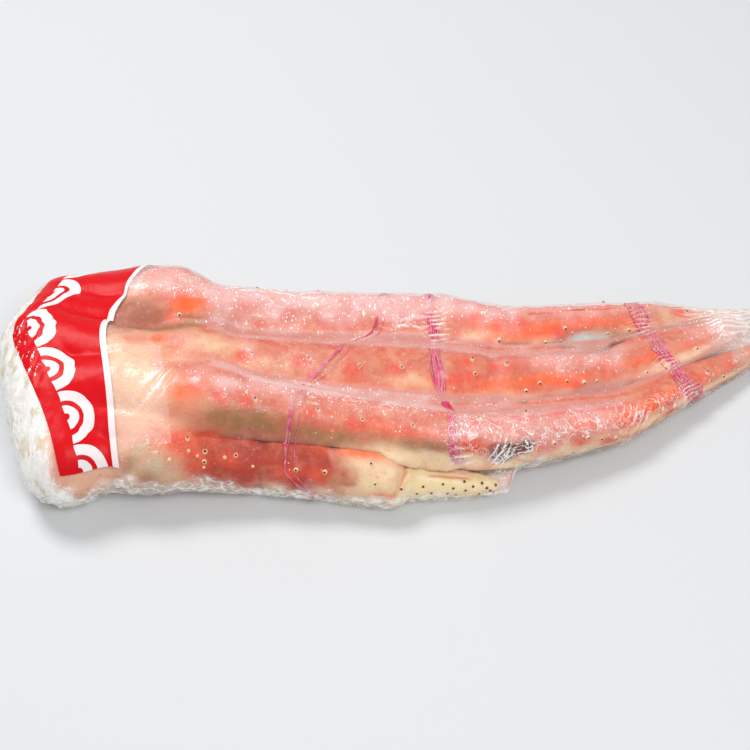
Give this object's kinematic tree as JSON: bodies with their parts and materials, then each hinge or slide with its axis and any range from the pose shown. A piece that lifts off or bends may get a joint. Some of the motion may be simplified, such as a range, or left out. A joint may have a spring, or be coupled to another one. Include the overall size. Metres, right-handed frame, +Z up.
{
  "type": "shrink-wrapped king crab leg section",
  "caption": "Frozen king crab section in clear shrink film: walking legs and claw side by side on the shoulder, tapering from a rounded wide end with a printed band to the leg tips.",
  "frame": {"origin": "centre of the bounding box's base, on the surface the pack lies on", "axes": "+X from the shoulder to the leg tips, +Y towards the rear walking leg, +Z up, with the spines up"},
  "size_m": [0.4798, 0.1789, 0.0657],
  "materials": {
    "wrapped_crab": "salmon and cream shell seen through clinging clear film",
    "band_print": "red and white print on clear film",
    "clear_film": "thin clear shrink film, glossy, milky where it stands off the shell",
    "crab_shell": "cooked shell, orange above and cream below, damp",
    "crab_spine": "cream spines with near-black tips",
    "crab_flesh": "pale frozen flesh and membrane at the shoulder",
    "pink_tie": "thin translucent pink band"
  },
  "bodies": {
    "root": {"film_pack": "wrapped_crab", "label": "band_print"}
  },
  "joints": []
}
